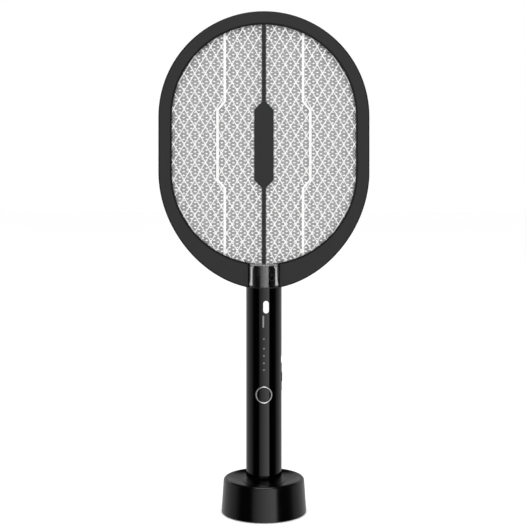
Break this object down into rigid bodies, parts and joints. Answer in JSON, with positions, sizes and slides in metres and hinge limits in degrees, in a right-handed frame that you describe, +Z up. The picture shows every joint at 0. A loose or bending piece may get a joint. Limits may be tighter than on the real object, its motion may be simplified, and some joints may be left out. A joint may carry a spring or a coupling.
{
  "type": "electric fly swatter",
  "caption": "Handheld electric fly swatter with an oval mesh head and a round battery handle, standing in a drum-shaped charging base.",
  "frame": {"origin": "middle of the base's footprint, on the surface that it stands on", "axes": "+Z up along the handle, -Y out of the front of the head, +X to the right seen from the front"},
  "size_m": [0.22, 0.0886, 0.5228],
  "materials": {
    "soft_gloss_black": "moulded plastic, slightly softer gloss",
    "gloss_black": "polished moulded plastic",
    "satin_black": "fine satin moulding",
    "matte_frame": "satin moulded plastic, fine grain",
    "rubber": "matt rubber",
    "white_plastic": "white insulating plastic",
    "net_metal": "bright expanded metal",
    "grid_metal": "expanded metal, slightly dull",
    "smoky_window": "smoky translucent polycarbonate",
    "smoky_sleeve": "dark smoky polycarbonate",
    "chrome": "polished chrome plating",
    "screw_steel": "zinc-plated steel",
    "brass": "gold-flashed brass",
    "spring_steel": "nickel-plated steel",
    "board": "green solder mask",
    "black_component": "moulded component body",
    "capacitor_film": "dipped film capacitor",
    "cell_wrap": "shrink-wrapped steel can",
    "clear_plastic": "clear acrylic",
    "lamp_body": "lamp with clear lens",
    "lead_jacket": "silicone insulation"
  },
  "bodies": {
    "base": {"base_shell": "soft_gloss_black", "base_plate": "satin_black", "base_feet": "rubber", "base_screws": "screw_steel", "charge_board": "board", "usb_inlet": "spring_steel", "pin_housing": "black_component", "pin_spring_left": "spring_steel", "pin_spring_right": "spring_steel"},
    "swatter": {"handle_front_shell": "gloss_black", "handle_back_shell": "gloss_black", "handle_end_cap": "satin_black", "battery_tray": "satin_black", "neck_spigot_front": "satin_black", "neck_spigot_back": "satin_black", "head_front_shell": "matte_frame", "head_back_shell": "matte_frame", "front_spacer_frame": "white_plastic", "back_spacer_frame": "white_plastic", "front_guard_net": "net_metal", "back_guard_net": "net_metal", "shock_grid": "grid_metal", "lamp_window_front": "smoky_window", "lamp_window_back": "smoky_window", "lamp_sleeve": "smoky_sleeve", "button_ring": "chrome", "handle_screws": "screw_steel", "head_screws": "screw_steel", "handle_contacts": "brass", "battery_contacts": "brass", "main_board": "board", "lamp_board": "board", "hv_transformer": "black_component", "hv_diodes": "black_component", "power_tact_switch": "black_component", "mode_switch_body": "black_component", "hv_capacitors": "capacitor_film", "battery_cell": "cell_wrap", "light_guide": "clear_plastic", "uv_lamps": "lamp_body", "indicator_leds": "lamp_body", "hv_leads": "lead_jacket", "lamp_leads": "lead_jacket", "battery_leads": "lead_jacket", "charge_leads": "lead_jacket"},
    "power_button": {"button_cap": "gloss_black", "button_plunger": "black_component"},
    "mode_switch": {"mode_switch_knob": "satin_black", "mode_switch_lever": "black_component"},
    "charge_pin_left": {"charge_pin_left": "brass"},
    "charge_pin_right": {"charge_pin_right": "brass"}
  },
  "joints": [
    {"name": "swatter_lift", "type": "slide", "parent": "base", "child": "swatter", "axis": [0, 0, 1], "range_m": [0, 0.05]},
    {"name": "power_button_press", "type": "slide", "parent": "swatter", "child": "power_button", "axis": [0, 1, 0], "range_m": [0, 0.0008], "stiffness_N_per_m": 800, "springref_m": -0.001},
    {"name": "mode_switch_slide", "type": "slide", "parent": "swatter", "child": "mode_switch", "axis": [0, 0, 1], "range_m": [0, 0.007]},
    {"name": "charge_pin_left_press", "type": "slide", "parent": "base", "child": "charge_pin_left", "axis": [0, 0, 1], "range_m": [-0.0014, 0], "stiffness_N_per_m": 300, "springref_m": 0.001, "deforming": ["pin_spring_left"]},
    {"name": "charge_pin_right_press", "type": "slide", "parent": "base", "child": "charge_pin_right", "axis": [0, 0, 1], "range_m": [-0.0014, 0], "stiffness_N_per_m": 300, "springref_m": 0.001, "deforming": ["pin_spring_right"]}
  ]
}
